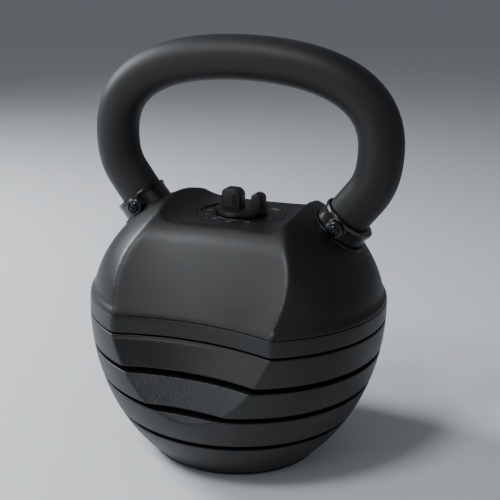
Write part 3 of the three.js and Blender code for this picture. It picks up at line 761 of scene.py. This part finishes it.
def dialKnob():
    low, high, r = dial["low"], dial["high"], dial["radius"]
    sleeve, start = dial["sleeve"], dial["sleeveLow"]
    obj = spun("dialKnob", [(0, start), (sleeve, start), (sleeve, low), (r - 0.6, low), (r, low + 0.6),
                            (r, high - 1.4), (r - 0.4, high - 0.5), (r - 1.4, high), (0, high)], 96)
    combine(obj, fin("leftFin", dial["leftFin"]), "UNION")
    combine(obj, fin("rightFin", dial["rightFin"]), "UNION")
    for side in (-1, 1):  # finger ribs on both broad sides of the long fin
        y, half, deep = side * dial["thickness"] / 2, dial["ribHalf"], dial["ribDeep"]
        bottom, top = dial["ribHeights"]
        for i in range(dial["ribCount"]):
            x = dial["ribStart"] + i * dial["ribPitch"]
            combine(obj, block("groove", (x - half, y - deep, bottom), (x + half, y + deep, top)))
    combine(obj, drum("bore", dial["bore"], 170, dial["boreTop"], 48))
    return smoothShade(obj, 30)


def dialPlate():
    a, b = dial["ringInner"], dial["ringOuter"] - dial["rimWidth"]
    low, high = dial["ringLow"], dial["ringHigh"]
    step, marked, slope = dial["ringStep"], high - dial["ringRise"], dial["ringSlope"]
    profile = [(a, low), (b, low), (b, marked), (step, marked), (step - slope, high), (a + slope, high),
               (a, high - slope), (a, low)]
    return smoothShade(spun("dialPlate", profile, 128), 30)


def dialRim():
    b, wide = dial["ringOuter"], dial["rimWidth"]
    low, rim = dial["ringLow"], dial["rimHigh"]
    profile = [(b - wide, low), (b, low), (b, rim - 0.6), (b - 0.18, rim - 0.2), (b - wide / 2, rim),
               (b - wide + 0.18, rim - 0.2), (b - wide, rim - 0.6), (b - wide, low)]
    return smoothShade(spun("dialRim", profile, 128), 40)


def dialMarks():
    pieces = []
    top, ink = dial["ringHigh"] - dial["ringRise"], dial["inkHeight"]
    for i, word in enumerate(dial["marks"]):
        angle = math.pi + math.radians(dial["stepDegrees"] * i)
        bpy.ops.object.text_add(location=(0, 0, 0))
        text = bpy.context.object
        text.data.body = word
        text.data.size = dial["textHeight"] * mm
        text.data.align_x = "CENTER"
        text.data.align_y = "CENTER"
        text.data.extrude = ink * mm
        only(text)
        bpy.ops.object.convert(target="MESH")
        text = bpy.context.object
        r = dial["numberRadius"] * mm
        place = Matrix.Translation((r * math.cos(angle), r * math.sin(angle), top * mm))
        text.matrix_world = place @ Matrix.Rotation(angle + math.pi / 2, 4, "Z")
        pieces.append(settle(text))
    for i in range(len(dial["marks"]) * 2 - 1):
        angle = math.pi + math.radians(dial["stepDegrees"] * i / 2)
        start, half = dial["tickStarts"][i % 2 == 0], dial["tickHalf"]
        tick = block("tick", (start, -half, top - ink), (dial["tickEnd"], half, top + ink))
        tick.rotation_euler = (0, 0, angle)
        pieces.append(settle(tick))
    only(pieces[0])
    for piece in pieces:
        piece.select_set(True)
    bpy.ops.object.join()
    return cleaned(named("dialMarks"))


finish(dialKnob(), "glossAbs", "gloss_plastic", "selector", "dial_knob")
finish(dialPlate(), "absSparkGrain", "gloss_plastic", "handle_core", "dial_plate")
finish(dialRim(), "polishedNylon", "gloss_plastic", "handle_core")
finish(dialMarks(), "printedInk", "bush_plastic", "handle_core")
print("dial ready")


# Spindle and foot.
works = {
    "radius": 9, "foot": 14, "top": 190, "clipLow": 154.7, "clipHigh": 156.8, "groove": 1.2,
    "barReach": 20, "barHalf": 3.3, "barSpare": 0.3, "pinRadius": 1.65, "pinHeight": 183.6,
}
foot = {
    "radius": 62, "thickness": 5, "recess": 0.8, "treads": ((16, 22), (38, 44)), "rimInner": 50,
    "screwReach": 30, "screwAngles": (45, 135, 225, 315), "headRadius": 4, "headDepth": 2.4, "shank": 1.9,
}


def spindle():
    r, top, cut = works["radius"], works["top"], works["groove"]
    obj = spun("spindle", [(0, works["foot"]), (r - 2, works["foot"]), (r - 1.6, works["foot"] + 0.3),
                           (r, works["foot"] + 3), (r, works["clipLow"]), (r - cut, works["clipLow"]),
                           (r - cut, works["clipHigh"]), (r, works["clipHigh"]), (r, top - 0.7),
                           (r - 0.7, top), (0, top)], 72)
    for i in range(4):
        low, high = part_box(f"lock_bar_{i + 1}")
        spare, half = works["barSpare"], works["barHalf"]
        combine(obj, block("barSlot", (-works["barReach"], -half, low.z / mm - spare),
                           (works["barReach"], half, high.z / mm + spare)))
    combine(obj, alongY(drum("pinHole", works["pinRadius"], -20, 20, 24), 0, 0, works["pinHeight"], 1))
    return smoothShade(obj, 30)


def footPad():
    r, t, deep = foot["radius"], foot["thickness"], foot["recess"]
    profile = [(0, deep)]
    for inner, outer in foot["treads"]:
        profile += [(inner, deep), (inner + 0.5, 0.2), (inner + 0.8, 0), (outer - 0.8, 0), (outer - 0.5, 0.2),
                    (outer, deep)]
    inner = foot["rimInner"]
    profile += [(inner, deep), (inner + 0.5, 0.2), (inner + 0.8, 0), (r - 1.7, 0), (r - 0.5, 0.5), (r, 1.5),
                (r, t), (0, t)]
    obj = spun("footPad", profile, 128)
    for angle in foot["screwAngles"]:
        x = foot["screwReach"] * math.cos(math.radians(angle))
        y = foot["screwReach"] * math.sin(math.radians(angle))
        combine(obj, drum("headHole", foot["headRadius"], -1, foot["headDepth"], 32, x, y))
        combine(obj, drum("shankHole", foot["shank"], -1, t + 1, 24, x, y))
    return smoothShade(obj, 30)


finish(spindle(), "zincSteel", "steel", "selector", "spindle")
finish(footPad(), "mouldedRubber", "foot_rubber", "base", "foot_pad")
print("spindle and foot ready")


# CAD pieces that keep their shape and only take a better finish.
def carriedOver():
    looks = [("weight", "castIronPainted"), ("lock_ring", "zincSteel"), ("screw", "zincSteel"),
             ("bush", "acetal"), ("foot_pad", "mouldedRubber"), ("handle_tube", "blackOxideSteel"),
             ("spindle", "zincSteel"), ("lock_bar", "zincSteel"), ("detent", "zincSteel"), ("pin", "zincSteel")]
    for node, obj in frame["nodes"].items():
        for word, material in looks:
            if word in node:
                obj.data.materials.clear()
                obj.data.materials.append(paint[material])
                break


carriedOver()

# Camera, floor and light.
view = {
    "azimuth": 19.65, "elevation": 16.24, "roll": 1.7, "distance": 704.32,
    "target": (7.96, 0, 158.41), "lens": 65.84, "sensor": 36,
}
studio = {
    "floorSize": 160, "floorCuts": 3, "floorColour": "e8eaec", "floorRoughness": 0.85,
    "skyColour": "c8cdd6", "skyStrength": 0.24, "lightTint": (0.93, 0.965, 1.0),
}
lights = {
    "keyLight": dict(at=(-1.3, 0.1, 0.95), aim=(0, 0, 0.14), size=0.6, power=26),
    "topLight": dict(at=(-0.35, -0.75, 1.25), aim=(0, 0, 0.17), size=0.3, power=9),
    "frontLight": dict(at=(-1.0, -1.4, 0.4), aim=(0, 0, 0.1), size=0.7, power=5),
    "fillLight": dict(at=(1.3, -0.9, 0.9), aim=(0, 0, 0.15), size=1.0, power=1.5),
}


def makeCamera():
    th, el, ro = (math.radians(view[k]) for k in ("azimuth", "elevation", "roll"))
    back = Vector((math.sin(th) * math.cos(el), -math.cos(th) * math.cos(el), math.sin(el)))
    right = Vector((math.cos(th), math.sin(th), 0))
    up = back.cross(right)
    leanRight = math.cos(ro) * right + math.sin(ro) * up
    leanUp = -math.sin(ro) * right + math.cos(ro) * up
    at = (Vector(view["target"]) + back * view["distance"]) * mm
    bpy.ops.object.camera_add(location=at)
    camera = bpy.context.object
    camera.matrix_world = Matrix((
        (leanRight.x, leanUp.x, back.x, at.x), (leanRight.y, leanUp.y, back.y, at.y),
        (leanRight.z, leanUp.z, back.z, at.z), (0, 0, 0, 1)))
    camera.data.lens = view["lens"]
    camera.data.sensor_width = view["sensor"]
    bpy.context.scene.camera = camera


def areaLight(name, at, aim, size, power):
    bpy.ops.object.light_add(type="AREA", location=at)
    light = bpy.context.object
    light.name = name
    light.data.size = size
    light.data.energy = power
    light.data.color = studio["lightTint"]
    light.rotation_euler = (Vector(aim) - Vector(at)).to_track_quat("-Z", "Y").to_euler()


def makeFloor():
    bpy.ops.mesh.primitive_plane_add(size=studio["floorSize"], location=(0, 0, 0))
    floor = named("studioFloor")
    editing(floor)
    selectAll(True)
    bpy.ops.mesh.subdivide(number_cuts=studio["floorCuts"])
    objectMode()
    material, tree, where = emptyMaterial("paleStudioPaper")
    shader = addNode(tree, "ShaderNodeBsdfPrincipled",
                     {"Base Color": linear(studio["floorColour"]), "Roughness": studio["floorRoughness"]})
    addNode(tree, "ShaderNodeOutputMaterial", {}, {"Surface": shader.outputs["BSDF"]})
    floor.data.materials.append(material)


makeCamera()
makeFloor()
for lightName, lamp in lights.items():
    areaLight(lightName, **lamp)
world = bpy.data.worlds.new("studio") if not bpy.context.scene.world else bpy.context.scene.world
bpy.context.scene.world = world
world.use_nodes = True
sky = world.node_tree.nodes["Background"]
sky.inputs["Color"].default_value = linear(studio["skyColour"])
sky.inputs["Strength"].default_value = studio["skyStrength"]
print("stage ready")
